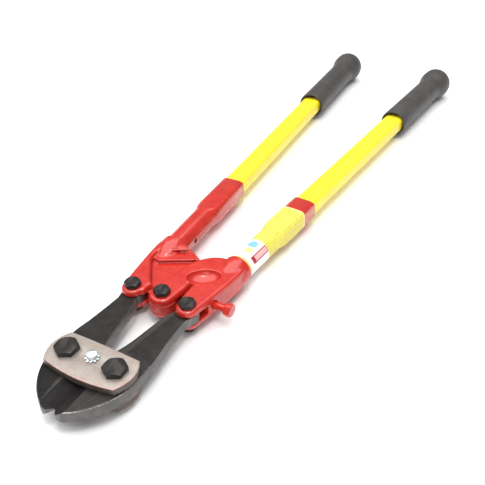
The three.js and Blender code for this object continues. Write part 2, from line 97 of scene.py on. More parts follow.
class Recipe:
    """Writes one node material, from its texture nodes to its output."""

    def __init__(self, name: str) -> None:
        """Starts an empty material with a Principled shader and object coordinates.

        Args:
            name: the material's name.
        """
        self.material = bpy.data.materials.new(name)
        self.material.use_nodes = True
        self.tree = self.material.node_tree
        self.shader = self.tree.nodes["Principled BSDF"]
        coordinates = self.tree.nodes.new("ShaderNodeTexCoord")
        self.where = coordinates.outputs["Object"]
        self.uv = coordinates.outputs["UV"]

    def node(self, kind: str, **settings: object) -> bpy.types.Node:
        """Adds a node.

        Args:
            kind: the node's type name.
            settings: attributes to set on it.

        Returns:
            The new node.
        """
        made = self.tree.nodes.new(kind)
        for key, value in settings.items():
            setattr(made, key, value)
        return made

    def link(self, source: Socket, target: Socket) -> None:
        """Joins two sockets."""
        self.tree.links.new(source, target)

    def stretched(self, scale: Triple, turn: float = 0.0) -> Socket:
        """Object coordinates, turned about Z and then scaled per axis.

        Args:
            scale: factor along each axis.
            turn: angle about Z in radians.

        Returns:
            The vector socket to read.
        """
        turned = self.node("ShaderNodeMapping")
        turned.inputs["Rotation"].default_value = (0, 0, turn)
        scaled = self.node("ShaderNodeMapping")
        scaled.inputs["Scale"].default_value = scale
        self.link(self.where, turned.inputs["Vector"])
        self.link(turned.outputs["Vector"], scaled.inputs["Vector"])
        return scaled.outputs["Vector"]

    def noise(self, size_mm: float, detail: float = 3.0, rough: float = 0.55,
              vector: Socket | None = None) -> Socket:
        """Cloudy noise whose spots are about size_mm wide.

        Args:
            size_mm: width of one spot.
            detail: octaves of finer noise on top.
            rough: strength of the finer octaves.
            vector: coordinates to read instead of the plain object ones.

        Returns:
            The noise value socket, from 0 to 1.
        """
        made = self.node("ShaderNodeTexNoise")
        made.inputs["Scale"].default_value = 1 / (size_mm * MM)
        made.inputs["Detail"].default_value = detail
        made.inputs["Roughness"].default_value = rough
        self.link(vector or self.where, made.inputs["Vector"])
        return made.outputs["Fac"]

    def remap(self, value: Socket, low: float, high: float,
              out_low: float, out_high: float) -> Socket:
        """Stretches a value from one range to another, clamped.

        Args:
            value: the socket to read.
            low: the value that becomes out_low.
            high: the value that becomes out_high.
            out_low: first end of the result.
            out_high: second end of the result.

        Returns:
            The result socket.
        """
        made = self.node("ShaderNodeMapRange")
        ends = {"From Min": low, "From Max": high, "To Min": out_low, "To Max": out_high}
        for name, number in ends.items():
            made.inputs[name].default_value = number
        self.link(value, made.inputs["Value"])
        return made.outputs["Result"]

    def math(self, operation: str, first: Socket,
             second: Socket | float = 0.0) -> Socket:
        """Does arithmetic on one or two values.

        Args:
            operation: the math node's operation.
            first: the first value's socket.
            second: the second value, or its socket.

        Returns:
            The result socket.
        """
        made = self.node("ShaderNodeMath", operation=operation)
        self.link(first, made.inputs[0])
        if isinstance(second, (int, float)):
            made.inputs[1].default_value = second
        else:
            self.link(second, made.inputs[1])
        return made.outputs[0]

    def blend(self, amount: Socket, first: Colour | Socket, second: Colour) -> Socket:
        """Mixes two colours.

        Args:
            amount: 0 gives the first colour, 1 the second.
            first: the first colour, or its socket.
            second: the second colour.

        Returns:
            The colour socket.
        """
        made = self.node("ShaderNodeMix", data_type="RGBA")
        self.link(amount, made.inputs["Factor"])
        if isinstance(first, tuple):
            made.inputs[6].default_value = (*first, 1)
        else:
            self.link(first, made.inputs[6])
        made.inputs[7].default_value = (*second, 1)
        return made.outputs[2]

    def bump(self, height: Socket, depth_mm: float, strength: float = 1.0,
             under: Socket | None = None) -> Socket:
        """Bumps the surface by a height value.

        Args:
            height: the height socket, from 0 to 1.
            depth_mm: how far 1 stands above 0.
            strength: share of the bump that shows.
            under: a normal that this bump lies on.

        Returns:
            The normal socket.
        """
        made = self.node("ShaderNodeBump")
        made.inputs["Distance"].default_value = depth_mm * MM
        made.inputs["Strength"].default_value = strength
        self.link(height, made.inputs["Height"])
        if under is not None:
            self.link(under, made.inputs["Normal"])
        return made.outputs["Normal"]

    def feed(self, name: str, source: Socket) -> None:
        """Joins a socket to one of the shader's inputs."""
        self.link(source, self.shader.inputs[name])

    def fix(self, values: dict[str, float | tuple[float, ...]]) -> None:
        """Gives the shader's inputs plain values."""
        for name, value in values.items():
            self.shader.inputs[name].default_value = value

    def satin(self, size_mm: float, detail: float, low: float, high: float) -> None:
        """Lets the roughness drift in clouds.

        Args:
            size_mm: width of one cloud.
            detail: octaves of finer noise on top.
            low: the lower roughness.
            high: the higher roughness.
        """
        self.feed("Roughness", self.remap(self.noise(size_mm, detail), 0.3, 0.7, low, high))

    def edges(self, low: float = 0.5, high: float = 0.6) -> Socket:
        """How far the surface is an outer edge, from 0 on flats and hollows to 1."""
        shape = self.node("ShaderNodeNewGeometry")
        return self.remap(shape.outputs["Pointiness"], low, high, 0, 1)


@dataclass(frozen=True)
class Finish:
    """A surface finish. Each kind says how its material is mixed."""

    name: str

    def material(self) -> bpy.types.Material:
        """Makes the finish's material, the first time that it is asked for.

        Returns:
            The material.
        """
        found = bpy.data.materials.get(self.name)
        if found:
            return found
        recipe = Recipe(self.name)
        self.mix(recipe)
        return recipe.material

    def mix(self, recipe: Recipe) -> None:
        """Fills in the recipe; each finish has its own."""
        raise NotImplementedError


@dataclass(frozen=True)
class Paint(Finish):
    """Glossy enamel over forged or drawn steel."""

    colour: Colour
    deep: Colour
    grain_mm: float
    grain_depth_mm: float
    roughness: float = 0.22
    # colour of the painted shade laid into hollows and creases
    shade: Colour = (0.12, 0.002, 0.002)

    def mix(self, recipe: Recipe) -> None:
        """Enamel with painted shade in its hollows, orange peel and the grain of the metal below.

        Args:
            recipe: the material being mixed.
        """
        tone = recipe.remap(recipe.noise(14, 4), 0.35, 0.7, 0, 1)
        enamel = recipe.blend(tone, self.colour, self.deep)
        # painted shade: hollows, slits and creases are darkened towards the shade colour
        painted_shade_mask = recipe.remap(recipe.edges(0.4, 0.495), 0, 1, 0.85, 0)
        recipe.feed("Base Color", recipe.blend(painted_shade_mask, enamel, self.shade))
        recipe.satin(5, 5, self.roughness, self.roughness + 0.16)
        grain = recipe.bump(recipe.noise(self.grain_mm, 4, 0.6), self.grain_depth_mm, 0.8)
        peel = recipe.bump(recipe.noise(0.9, 2, 0.4), 0.02, 0.5, under=grain)
        recipe.feed("Normal", peel)
        recipe.fix({"Specular IOR Level": 0.45, "Coat Weight": 0.4, "Coat Roughness": 0.1})


@dataclass(frozen=True)
class DarkSteel(Finish):
    """Blackened steel, rubbed grey where it is ground or handled."""

    black: Colour
    rubbed: Colour
    roughness: float = 0.42
    metal: float = 0.55
    grind_mm: float = 2.5
    shine: float = 0.35

    def mix(self, recipe: Recipe) -> None:
        """Dark film with worn edges, cloudy tone and fine grinding lines.

        Args:
            recipe: the material being mixed.
        """
        cloud = recipe.remap(recipe.noise(self.grind_mm * 3, 5, 0.62), 0.4, 0.72, 0, 0.45)
        film = recipe.blend(cloud, self.black, self.rubbed)
        worn = recipe.blend(recipe.edges(0.52, 0.62), film, self.rubbed)
        recipe.feed("Base Color", worn)
        recipe.fix({"Metallic": self.metal, "Specular IOR Level": self.shine})
        recipe.satin(self.grind_mm, 4, self.roughness - 0.08, self.roughness + 0.14)
        lines = recipe.noise(self.grind_mm, 3, 0.5, recipe.stretched((1.0, 9.0, 1.0), 0.5))
        pits = recipe.bump(recipe.noise(0.7, 3, 0.6), 0.03, 0.5)
        recipe.feed("Normal", recipe.bump(lines, 0.04, 0.4, under=pits))


@dataclass(frozen=True)
class SpeckledPlate(Finish):
    """Dull plating over a rough stamped plate, with warm and pale specks."""

    pale: Colour
    warm: Colour
    dark: Colour

    def mix(self, recipe: Recipe) -> None:
        """Metal with clouds of two tones, dark pinholes and a hammered bump.

        Args:
            recipe: the material being mixed.
        """
        clouds = recipe.remap(recipe.noise(6, 5, 0.65), 0.38, 0.66, 0, 1)
        base = recipe.blend(clouds, self.pale, self.warm)
        specks = recipe.remap(recipe.noise(0.8, 3, 0.7), 0.6, 0.72, 0, 0.75)
        recipe.feed("Base Color", recipe.blend(specks, base, self.dark))
        recipe.fix({"Metallic": 0.45})
        recipe.satin(1.6, 4, 0.34, 0.6)
        hammer = recipe.bump(recipe.noise(1.3, 4, 0.6), 0.22, 0.9)
        recipe.feed("Normal", recipe.bump(recipe.noise(0.45, 2), 0.03, 0.6, under=hammer))


@dataclass(frozen=True)
class BrightZinc(Finish):
    """Zinc plating with a cool tint."""

    tint: Colour
    cool: Colour

    def mix(self, recipe: Recipe) -> None:
        """Bright metal whose tint drifts, with fine handling marks.

        Args:
            recipe: the material being mixed.
        """
        drift = recipe.remap(recipe.noise(2.5, 3), 0.4, 0.62, 0, 1)
        recipe.feed("Base Color", recipe.blend(drift, self.tint, self.cool))
        recipe.fix({"Metallic": 1.0})
        recipe.satin(1.2, 3, 0.12, 0.3)
        recipe.feed("Normal", recipe.bump(recipe.noise(0.6, 3), 0.03, 0.6))


@dataclass(frozen=True)
class Fibreglass(Finish):
    """Pultruded fibreglass: gel coat over glass rovings that run along the rod."""

    colour: Colour
    shade: Colour
    turn: float

    def mix(self, recipe: Recipe) -> None:
        """Clear yellow with faint long fibres and a soft gloss.

        Args:
            recipe: the material being mixed.
        """
        along = recipe.stretched((1.0, 0.03, 1.0), self.turn)
        fibres = recipe.noise(1.1, 4, 0.6, along)
        tone = recipe.remap(fibres, 0.35, 0.7, 0, 1)
        recipe.feed("Base Color", recipe.blend(tone, self.colour, self.shade))
        recipe.satin(9, 4, 0.3, 0.46)
        recipe.feed("Normal", recipe.bump(fibres, 0.05, 0.45))
        recipe.fix({
            "Coat Weight": 0.2,
            "Coat Roughness": 0.25,
            "Subsurface Weight": 0.08,
            "Subsurface Radius": (0.004, 0.003, 0.0005),
        })


@dataclass(frozen=True)
class Rubber(Finish):
    """Moulded black rubber, dulled by bloom."""

    colour: Colour
    bloom: Colour

    def mix(self, recipe: Recipe) -> None:
        """Dark satin with pale bloom in clouds and a fine moulded grain.

        Args:
            recipe: the material being mixed.
        """
        clouds = recipe.remap(recipe.noise(11, 5, 0.6), 0.4, 0.75, 0, 0.8)
        recipe.feed("Base Color", recipe.blend(clouds, self.colour, self.bloom))
        recipe.satin(3, 4, 0.48, 0.66)
        grain = recipe.bump(recipe.noise(0.5, 2, 0.5), 0.05, 0.5)
        recipe.feed("Normal", recipe.bump(recipe.noise(6, 3), 0.25, 0.35, under=grain))
        recipe.fix({"Sheen Weight": 0.12, "Sheen Roughness": 0.4})


@dataclass(frozen=True)
class Panel:
    """One printed panel: a box or a disc in the label's own millimetres."""

    centre: tuple[float, float]
    half: tuple[float, float]
    ink: Colour
    disc: bool = False


@dataclass(frozen=True)
class LabelPrint(Finish):
    """A printed sticker: a yellow field and a white one, with plain coloured panels."""

    length: float
    girth: float
    yellow: Colour
    rule: Colour
    panels: tuple[Panel, ...]
    row_mm: float = 2.1

    def mix(self, recipe: Recipe) -> None:
        """Prints the panels over the yellow field by the sticker's own UV.

        Args:
            recipe: the material being mixed.
        """
        along, round_ = self.millimetres(recipe)
        colour = recipe.blend(self.rules(recipe, along, round_), self.yellow, self.rule)
        for panel in self.panels:
            mask = self.mask(recipe, along, round_, panel)
            colour = recipe.blend(mask, colour, panel.ink)
        recipe.feed("Base Color", colour)
        recipe.satin(7, 3, 0.3, 0.42)
        recipe.feed("Normal", recipe.bump(recipe.noise(2.2, 3), 0.03, 0.5))
        recipe.fix({"Specular IOR Level": 0.35})

    def rules(self, recipe: Recipe, along: Socket,
              round_: Socket) -> Socket:
        """Fine broken rules along the yellow field.

        Args:
            recipe: the material being mixed.
            along: the place along the handle.
            round_: the place round the handle.

        Returns:
            A socket that is above 0 where a rule is printed.
        """
        rows = recipe.math("FRACT", recipe.math("DIVIDE", round_, self.row_mm))
        line = recipe.remap(recipe.math("ABSOLUTE", recipe.math("SUBTRACT", rows, 0.5)), 0.12, 0.2, 1, 0)
        places = recipe.node("ShaderNodeCombineXYZ")
        recipe.link(along, places.inputs[0])
        recipe.link(recipe.math("SNAP", round_, self.row_mm), places.inputs[1])
        dashes = recipe.node("ShaderNodeTexNoise")
        dashes.inputs["Scale"].default_value = 0.6
        dashes.inputs["Detail"].default_value = 2.0
        recipe.link(places.outputs[0], dashes.inputs["Vector"])
        return recipe.math("MULTIPLY", line, recipe.remap(dashes.outputs["Fac"], 0.46, 0.54, 0, 0.5))

    def millimetres(self, recipe: Recipe) -> tuple[Socket, Socket]:
        """The sticker's own coordinates.

        Args:
            recipe: the material being mixed.

        Returns:
            Sockets for the place along the handle and round it, in millimetres.
        """
        split = recipe.node("ShaderNodeSeparateXYZ")
        recipe.link(recipe.uv, split.inputs[0])
        return (recipe.remap(split.outputs["X"], 0, 1, 0, self.length),
                recipe.remap(split.outputs["Y"], 0, 1, 0, self.girth))

    def mask(self, recipe: Recipe, along: Socket, round_: Socket,
             panel: Panel) -> Socket:
        """Where a panel is printed.

        Args:
            recipe: the material being mixed.
            along: the place along the handle.
            round_: the place round the handle.
            panel: the panel.

        Returns:
            A socket that is 1 inside the panel and 0 outside.
        """
        reach = []
        for place, centre, half in zip((along, round_), panel.centre, panel.half):
            offset = recipe.math("SUBTRACT", place, centre)
            reach.append(recipe.math("DIVIDE", recipe.math("ABSOLUTE", offset), half))
        if panel.disc:
            squares = [recipe.math("POWER", share, 2) for share in reach]
            far = recipe.math("ADD", squares[0], squares[1])
        else:
            far = recipe.math("MAXIMUM", reach[0], reach[1])
        return recipe.remap(far, 0.97, 1.03, 1, 0)


RED = (0.52, 0.024, 0.013)
DEEP_RED = (0.45, 0.015, 0.009)
FORGED_RED = Paint("forged_red_enamel", RED, DEEP_RED, 2.6, 0.2, 0.2)
TUBE_RED = Paint("tube_red_enamel", RED, DEEP_RED, 9.0, 0.10, 0.2)
FORGED_BLACK = DarkSteel("forged_black", (0.020, 0.018, 0.017), (0.05, 0.046, 0.043), 0.46, 0.3, 2.5, 0.3)
# Jaw sides: a lighter grey than the faces, chosen by the face's direction.
LIGHT_GREY_SIDE = DarkSteel("jaw_side_light_grey", (0.095, 0.09, 0.088), (0.19, 0.183, 0.178), 0.38, 0.5, 1.8)
BLADE_FACE = DarkSteel("blade_face", (0.008, 0.007, 0.007), (0.02, 0.018, 0.017), 0.5, 0.1, 1.6, 0.15)
# Jaw chamfers and rounded edges: worn steel, made brighter as a painted highlight.
WORN_EDGE_AND_HIGHLIGHT = DarkSteel("worn_edge_and_painted_highlight", (0.22, 0.21, 0.2), (0.42, 0.4, 0.38), 0.26, 0.85, 1.2)
OXIDE = DarkSteel("oxide_film", (0.015, 0.013, 0.012), (0.042, 0.038, 0.035), 0.38, 0.2, 1.4, 0.2)
PLATING = SpeckledPlate("speckled_plating", (0.37, 0.33, 0.295), (0.34, 0.275, 0.24), (0.09, 0.07, 0.06))
# Strap rims: a lighter, pinker copy of the plating, a painted highlight.
RIM_HIGHLIGHT = SpeckledPlate("strap_rim_painted_highlight", (0.62, 0.42, 0.38), (0.55, 0.33, 0.29), (0.2, 0.1, 0.09))
# Strap sides: a darker copy of the plating, painted shade.
STRAP_SIDE_SHADE = SpeckledPlate("strap_side_painted_shade", (0.115, 0.095, 0.085), (0.085, 0.06, 0.052),
                             (0.03, 0.022, 0.02))
ZINC = BrightZinc("bright_zinc", (0.86, 0.88, 0.9), (0.6, 0.8, 0.82))
RUBBER = Rubber("grip_rubber", (0.038, 0.035, 0.033), (0.07, 0.065, 0.062))


# ---------------------------------------------------------------- bench


class Bench:
    """Modelling by operators: selection, edit mode, primitives and modifiers."""

    @staticmethod
    def clear() -> None:
        """Deselects everything."""
        if bpy.context.object and bpy.context.object.mode != "OBJECT":
            bpy.ops.object.mode_set(mode="OBJECT")
        bpy.ops.object.select_all(action="DESELECT")

    @classmethod
    def hold(cls, piece: Piece) -> Piece:
        """Selects one piece and makes it active.

        Args:
            piece: the piece.

        Returns:
            The same piece.
        """
        cls.clear()
        piece.select_set(True)
        bpy.context.view_layer.objects.active = piece
        return piece

    @classmethod
    @contextmanager
    def editing(cls, piece: Piece, mode: str = "FACE") -> Iterator[None]:
        """Edit mode on a piece, left again at the end.

        Args:
            piece: the piece to edit.
            mode: VERT, EDGE or FACE selection.
        """
        cls.hold(piece)
        bpy.ops.object.mode_set(mode="EDIT")
        bpy.ops.mesh.select_mode(type=mode)
        try:
            yield
        finally:
            bpy.ops.object.mode_set(mode="OBJECT")

    @staticmethod
    def pick(piece: Piece, test: Test) -> None:
        """Selects, inside edit mode, the faces that pass a test.

        Args:
            piece: the piece in edit mode.
            test: told a face's centre and normal.
        """
        bpy.ops.mesh.select_all(action="DESELECT")
        bpy.ops.object.mode_set(mode="OBJECT")
        for face in piece.data.polygons:
            face.select = test(face.center, face.normal)
        bpy.ops.object.mode_set(mode="EDIT")

    @staticmethod
    def pick_points(piece: Piece, test: Callable[[Vector], bool]) -> None:
        """Selects, inside edit mode, the vertices that pass a test.

        Args:
            piece: the piece in edit mode.
            test: told a vertex's place.
        """
        bpy.ops.mesh.select_all(action="DESELECT")
        bpy.ops.object.mode_set(mode="OBJECT")
        for point in piece.data.vertices:
            point.select = test(point.co)
        bpy.ops.object.mode_set(mode="EDIT")

    @staticmethod
    def named(name: str) -> Piece:
        """Names the primitive that was just added.

        Args:
            name: the name of the piece and of its mesh.

        Returns:
            The piece.
        """
        piece = bpy.context.object
        piece.name = name
        piece.data.name = name
        return piece

    @classmethod
    def cylinder(cls, name: str, sides: int, radius: float, low: Vector, high: Vector) -> Piece:
        """Adds a cylinder between two points.

        Args:
            name: the piece's name.
            sides: number of sides.
            radius: radius to the corners, in metres.
            low: centre of the first end.
            high: centre of the second end.

        Returns:
            The new piece.
        """
        cls.clear()
        along = high - low
        bpy.ops.mesh.primitive_cylinder_add(vertices=sides, radius=radius, depth=along.length,
                                            location=(low + high) / 2,
                                            rotation=along.to_track_quat("Z", "Y").to_euler())
        return cls.settle(cls.named(name))

    @classmethod
    def settle(cls, piece: Piece) -> Piece:
        """Puts a piece's place, turn and scale into its mesh.

        Args:
            piece: the piece.

        Returns:
            The same piece.
        """
        cls.hold(piece)
        bpy.ops.object.transform_apply(location=True, rotation=True, scale=True)
        return piece

    @classmethod
    def modify(cls, piece: Piece, kind: str, **settings: object) -> Piece:
        """Adds a modifier and applies it.

        Args:
            piece: the piece to change.
            kind: the modifier's type.
            settings: attributes to set on it.

        Returns:
            The same piece.
        """
        cls.hold(piece)
        made = piece.modifiers.new(kind.title(), kind)
        for key, value in settings.items():
            setattr(made, key, value)
        bpy.ops.object.modifier_apply(modifier=made.name)
        return piece

    @classmethod
    def face_outward(cls, piece: Piece) -> None:
        """Turns every face of a piece outwards."""
        with cls.editing(piece):
            bpy.ops.mesh.select_all(action="SELECT")
            bpy.ops.mesh.normals_make_consistent(inside=False)

    @classmethod
    def combine(cls, piece: Piece, tool: Piece, operation: str) -> Piece:
        """Joins, cuts or intersects a piece with a tool, which is used up.

        Args:
            piece: the piece to change.
            tool: the other solid.
            operation: UNION, DIFFERENCE or INTERSECT.

        Returns:
            The changed piece.
        """
        cls.modify(piece, "BOOLEAN", object=tool, operation=operation, solver="EXACT")
        bpy.data.objects.remove(tool)
        return piece

    @classmethod
    def blank(cls, node: str, name: str, flats: bool = True) -> Piece:
        """A fitted blank: a copy of a frame node's shape with its corners joined.

        Args:
            node: the frame node.
            name: the new piece's name.
            flats: whether each flat becomes one face.

        Returns:
            The new piece.
        """
        piece = bpy.data.objects.new(name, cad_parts[node].data.copy())
        piece.data.name = name
        piece.data.materials.clear()
        bpy.context.scene.collection.objects.link(piece)
        with cls.editing(piece, "VERT"):
            bpy.ops.mesh.select_all(action="SELECT")
            bpy.ops.mesh.remove_doubles(threshold=0.00001)
            if flats:
                bpy.ops.mesh.dissolve_limited(angle_limit=math.radians(0.6))
        cls.hold(piece)
        bpy.ops.object.shade_flat()
        return piece

    @classmethod
    def soften(cls, piece: Piece, width_mm: float, segments: int = 2,
               angle: float = 28, smooth: float = 34, rim: int = -1) -> Piece:
        """Rounds a piece's sharp edges and shades it smooth between them.

        Args:
            piece: the piece to finish.
            width_mm: width of the rounding.
            segments: faces across the rounding.
            angle: edges sharper than this many degrees are rounded.
            smooth: edges sharper than this many degrees stay crisp.
            rim: the material that the rounding gets, or -1 for its neighbours'.

        Returns:
            The same piece.
        """
        cls.modify(piece, "BEVEL", width=width_mm * MM, segments=segments, limit_method="ANGLE",
                   angle_limit=math.radians(angle), use_clamp_overlap=True, material=rim)
        cls.hold(piece)
        bpy.ops.object.shade_smooth_by_angle(angle=math.radians(smooth))
        return piece


def deliver(piece: Piece, body: Body, finish: Finish, slot: str, *nodes: str) -> Piece:
    """Dresses a piece and hands it over to the frame.

    Args:
        piece: the finished piece.
        body: the body that it rides on.
        finish: its surface, unless its faces already have one.
        slot: the record's material slot; not used.
        nodes: the frame nodes that it stands for.

    Returns:
        The same piece.
    """
    if not piece.data.materials:
        piece.data.materials.append(finish.material())
    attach(piece, body.value)
    if nodes:
        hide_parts(*nodes)
    log.info("%s: %d faces, rides on %s", piece.name, len(piece.data.polygons), body.value)
    return piece


def dress(piece: Piece, finishes: tuple[Finish, ...],
          choose: Callable[[Vector, Vector], int]) -> None:
    """Gives each face of a piece one of several finishes.

    Args:
        piece: the piece.
        finishes: the finishes to choose from.
        choose: told a face's centre and normal, says which finish it has.
    """
    for finish in finishes:
        piece.data.materials.append(finish.material())
    for face in piece.data.polygons:
        face.material_index = choose(face.center, face.normal)


# ---------------------------------------------------------------- fasteners


@dataclass
class HexPiece:
    """A hexagon head, nut or screw, turned about the axis of a frame node."""

    node: str
    piece_name: str
    body: Body
    across_flats: float
    height: float
    bore: float = 0.0
    shank: float = 0.0
    finish: Finish = OXIDE
    slot_name: str = "black_oxide"
    upward: bool = True

    def build(self) -> Piece:
        """Builds the hexagon with its shank or bore and hands it over.

        Returns:
            The finished piece.
        """
        low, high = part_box(self.node)
        centre = (low + high) / 2
        seat = high.z - self.height * MM if self.upward else low.z
        top = seat + self.height * MM
        floor, roof = Vector((centre.x, centre.y, seat)), Vector((centre.x, centre.y, top))
        piece = self.block(floor, roof)
        if self.shank:
            tail = Vector((centre.x, centre.y, low.z))
            stem = self.stem(tail, roof - Vector((0, 0, self.height * MM / 2)))
            Bench.combine(piece, stem, "UNION")
        if self.bore:
            reach = Vector((0, 0, 0.002))
            drill = Bench.cylinder("drill", 40, self.bore * MM, floor - reach, roof + reach)
            Bench.combine(piece, drill, "DIFFERENCE")
        Bench.soften(piece, 0.28, 3)
        return deliver(piece, self.body, self.finish, self.slot_name, self.node)

    def block(self, floor: Vector, roof: Vector) -> Piece:
        """The hexagon with its free face turned down to a round chamfer.

        Args:
            floor: centre of the lower face.
            roof: centre of the upper face.

        Returns:
            The hexagon.
        """
        corner = self.across_flats * MM / math.sqrt(3)
        piece = Bench.cylinder(self.piece_name, 6, corner, floor, roof)
        turned = Bench.cylinder("turned", 64, corner * 1.002, floor, roof)
        free = 1 if self.upward else -1
        with Bench.editing(turned, "FACE"):
            Bench.pick(turned, lambda _, normal: normal.z * free > 0.9)
            bpy.ops.mesh.inset(thickness=corner * 0.16, depth=0)
            Bench.pick_points(turned, lambda at: self.is_rim(at, floor, roof, corner))
            bpy.ops.transform.translate(value=(0, 0, -free * 0.00085))
        return Bench.combine(piece, turned, "INTERSECT")

    def is_rim(self, at: Vector, floor: Vector, roof: Vector, corner: float) -> bool:
        """Whether a point lies on the outer rim of the free face.

        Args:
            at: the point.
            floor: centre of the lower face.
            roof: centre of the upper face.
            corner: radius of the hexagon's corners.

        Returns:
            True on the rim.
        """
        level = roof.z if self.upward else floor.z
        radius = math.hypot(at.x - roof.x, at.y - roof.y)
        return abs(at.z - level) < 0.0001 and radius > corner * 0.95

    def stem(self, tail: Vector, root: Vector) -> Piece:
        """The shank, chamfered at its end.

        Args:
            tail: centre of the free end.
            root: centre of the end inside the head.

        Returns:
            The shank.
        """
        stem = Bench.cylinder("stem", 40, self.shank * MM, tail, root)
        with Bench.editing(stem, "FACE"):
            Bench.pick(stem, lambda _, normal: normal.z < -0.9)
            bpy.ops.mesh.inset(thickness=0.0005, depth=0)
        return stem


@dataclass(frozen=True)
class BoltSize:
    """One size of bolt with its nut."""

    across_flats: float
    head_height: float
    nut_height: float
    clearance: float = 0.3

    def build(self, bolt: str, nut: str, radius: float, body: Body) -> None:
        """Builds one bolt and its nut.

        Args:
            bolt: the bolt's frame node.
            nut: the nut's frame node.
            radius: radius of the shank, in millimetres.
            body: the body that both ride on.
        """
        HexPiece(bolt, bolt + "_turned", body, self.across_flats, self.head_height, shank=radius).build()
        HexPiece(nut, nut + "_turned", body, self.across_flats, self.nut_height,
                 bore=radius + self.clearance, upward=False).build()


@dataclass
class RearBolts:
    """The three bolts through the heads, with their nuts."""

    size: BoltSize = BoltSize(11.2, 3.4, 3.2)
    toggle_radius: float = 4.0
    centre_radius: float = 3.8

    def build(self) -> None:
        """Builds the bolts and nuts on their levers."""
        for side in Side:
            self.size.build(f"toggle_bolt_{side.word}", f"toggle_nut_{side.word}",
                            self.toggle_radius, Body.lever(side))
        self.size.build("centre_bolt", "centre_nut", self.centre_radius, Body.LEVER_RIGHT)


# ---------------------------------------------------------------- jaws and straps


@dataclass
class StrapSet:
    """The two straps, the jaw bolts with their nuts, and the zinc screw between them."""

    size: BoltSize = BoltSize(15.0, 3.7, 5.9)
    bolt_radius: float = 5.0

    def build(self) -> None:
        """Builds every piece that rides on the straps."""
        for name in ("strap_top", "strap_bottom"):
            plate = Bench.blank(name, name + "_plate")
            # the rims get a painted highlight and the sides painted shade
            dress(plate, (PLATING, RIM_HIGHLIGHT, STRAP_SIDE_SHADE), lambda _, normal: self.surface(normal))
            Bench.soften(plate, 0.2, 2)
            deliver(plate, Body.STRAP, PLATING, "plated_steel", name)
        for side in Side:
            self.size.build(f"jaw_bolt_{side.word}", f"jaw_nut_{side.word}", self.bolt_radius, Body.STRAP)
        for node in ("strap_screw", "strap_screw_washer", "strap_screw_nut"):
            small = Bench.blank(node, node + "_turned")
            Bench.soften(small, 0.18, 2)
            deliver(small, Body.STRAP, ZINC, "zinc", node)

    @staticmethod
    def surface(normal: Vector) -> int:
        """Which of a strap's finishes a face has.

        Args:
            normal: the face's normal.

        Returns:
            0 for the flat, 1 for the rim with its painted highlight and 2 for the side with its painted
            shade.
        """
        if abs(normal.z) > 0.9:
            return 0
        return 1 if abs(normal.z) > 0.3 else 2


@dataclass
class Jaw:
    """One forged jaw: black faces, sides of a lighter grey and a bevelled blade."""

    side: Side

    def build(self) -> Piece:
        """Builds the jaw from its fitted blank and dresses its faces.

        Returns:
            The finished jaw.
        """
        node = f"jaw_{self.side.word}"
        piece = Bench.blank(node, node + "_forged")
        dress(piece, (FORGED_BLACK, LIGHT_GREY_SIDE, BLADE_FACE, WORN_EDGE_AND_HIGHLIGHT), self.surface)
        # rim=3: the rounded edges take the worn steel with its painted highlight
        Bench.soften(piece, 0.22, 2, 20, 30, rim=3)
        return deliver(piece, Body.jaw(self.side), FORGED_BLACK, "black_steel", node)

    def surface(self, centre: Vector, normal: Vector) -> int:
        """Which of the jaw's finishes a face has.

        Args:
            centre: the face's centre.
            normal: the face's normal.

        Returns:
            0 for the forged flats, 1 for the lighter grey sides, 2 for the blade and 3 for the chamfers,
            worn and brightened as a painted highlight.
        """
        upright = abs(normal.z)
        if upright > 0.97:
            return 2 if centre.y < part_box("strap_top")[0].y + 0.006 else 0
        if upright > 0.85:
            return 2
        return 3 if upright > 0.5 else 1


# ---------------------------------------------------------------- heads


